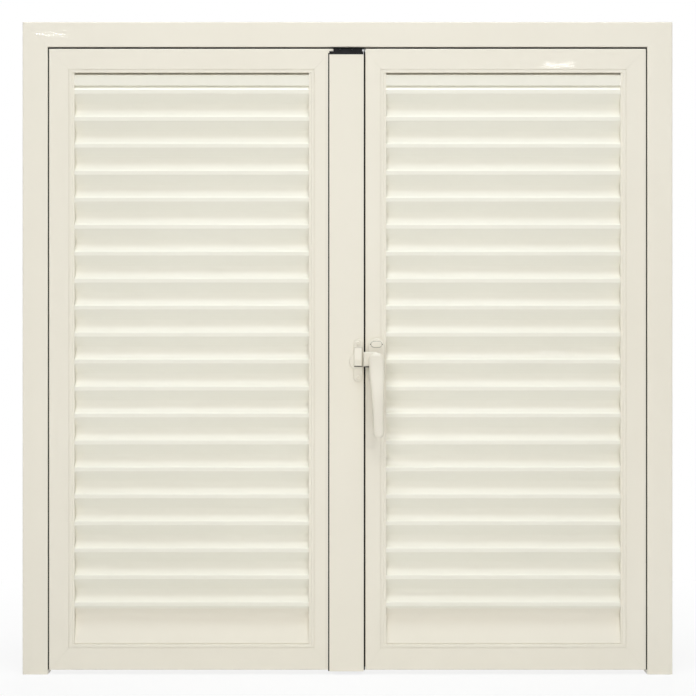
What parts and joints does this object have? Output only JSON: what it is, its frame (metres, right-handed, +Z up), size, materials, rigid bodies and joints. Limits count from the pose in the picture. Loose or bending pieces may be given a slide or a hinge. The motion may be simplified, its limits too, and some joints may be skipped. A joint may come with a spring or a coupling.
{
  "type": "louvred shutters",
  "caption": "Double-leaf louvred shutter in a three-sided frame: fixed slats, outward-swinging hinged leaves, cover astragal with flush bolts and a lever latch.",
  "frame": {"origin": "on the floor line of the jamb feet, midway across the frame and midway through the whole depth", "axes": "+X to the right and +Z up as seen from the room side, +Y from the room to the outside"},
  "size_m": [1.2, 0.107, 1.205],
  "materials": {
    "cream_lacquer": "satin-gloss cream lacquer on aluminium",
    "black_rubber": "matt black rubber",
    "black_plastic": "moulded black plastic",
    "nylon": "natural nylon",
    "zinc_steel": "bright zinc-plated steel",
    "bare_aluminium": "mill finish"
  },
  "bodies": {
    "frame": {"frame_head": "cream_lacquer", "frame_left_jamb": "cream_lacquer", "frame_right_jamb": "cream_lacquer", "frame_corner_cleats": "bare_aluminium", "frame_gaskets": "black_rubber", "frame_hinge_wings": "cream_lacquer", "hinge_pins": "zinc_steel", "frame_hinge_screws": "zinc_steel", "bolt_strike_plate": "zinc_steel", "strike_screws": "zinc_steel"},
    "left_leaf": {"left_hinge_stile": "cream_lacquer", "left_meeting_stile": "cream_lacquer", "left_top_rail": "cream_lacquer", "left_bottom_rail": "cream_lacquer", "left_corner_cleats": "bare_aluminium", "left_outer_slat_carrier": "cream_lacquer", "left_inner_slat_carrier": "cream_lacquer", "left_slats": "cream_lacquer", "left_top_filler": "cream_lacquer", "left_bottom_filler": "cream_lacquer", "left_hinge_wings": "cream_lacquer", "left_hinge_bushes": "nylon", "left_hinge_screws": "zinc_steel", "astragal": "cream_lacquer", "astragal_gasket": "black_rubber", "astragal_seal": "black_rubber", "astragal_top_cap": "black_plastic", "astragal_bottom_cap": "black_plastic", "astragal_screws": "zinc_steel", "latch_keeper": "cream_lacquer", "keeper_screws": "cream_lacquer"},
    "right_leaf": {"right_hinge_stile": "cream_lacquer", "right_meeting_stile": "cream_lacquer", "right_top_rail": "cream_lacquer", "right_bottom_rail": "cream_lacquer", "right_corner_cleats": "bare_aluminium", "right_outer_slat_carrier": "cream_lacquer", "right_inner_slat_carrier": "cream_lacquer", "right_slats": "cream_lacquer", "right_top_filler": "cream_lacquer", "right_bottom_filler": "cream_lacquer", "right_hinge_wings": "cream_lacquer", "right_hinge_bushes": "nylon", "right_hinge_screws": "zinc_steel", "meeting_seal": "black_rubber", "handle_base": "cream_lacquer", "handle_screws": "zinc_steel", "handle_screw_cover": "cream_lacquer"},
    "latch_handle": {"latch_lever": "cream_lacquer", "lever_pivot": "zinc_steel", "lever_washer": "nylon"},
    "top_bolt": {"top_bolt": "zinc_steel"},
    "bottom_bolt": {"bottom_bolt": "zinc_steel"}
  },
  "joints": [
    {"name": "left_leaf_swing", "type": "hinge", "parent": "frame", "child": "left_leaf", "pos_m": [-0.5685, 0.046, 0.6025], "axis": [0, 0, 1], "range_deg": [0, 170]},
    {"name": "right_leaf_swing", "type": "hinge", "parent": "frame", "child": "right_leaf", "pos_m": [0.5685, 0.046, 0.6025], "axis": [0, 0, -1], "range_deg": [0, 170]},
    {"name": "latch_turn", "type": "hinge", "parent": "right_leaf", "child": "latch_handle", "pos_m": [0.0532, -0.002, 0.58], "axis": [0, -1, 0], "range_deg": [0, 90]},
    {"name": "top_bolt_slide", "type": "slide", "parent": "left_leaf", "child": "top_bolt", "axis": [0, 0, 1], "range_m": [0, 0.018]},
    {"name": "bottom_bolt_slide", "type": "slide", "parent": "left_leaf", "child": "bottom_bolt", "axis": [0, 0, -1], "range_m": [0, 0.018]}
  ]
}
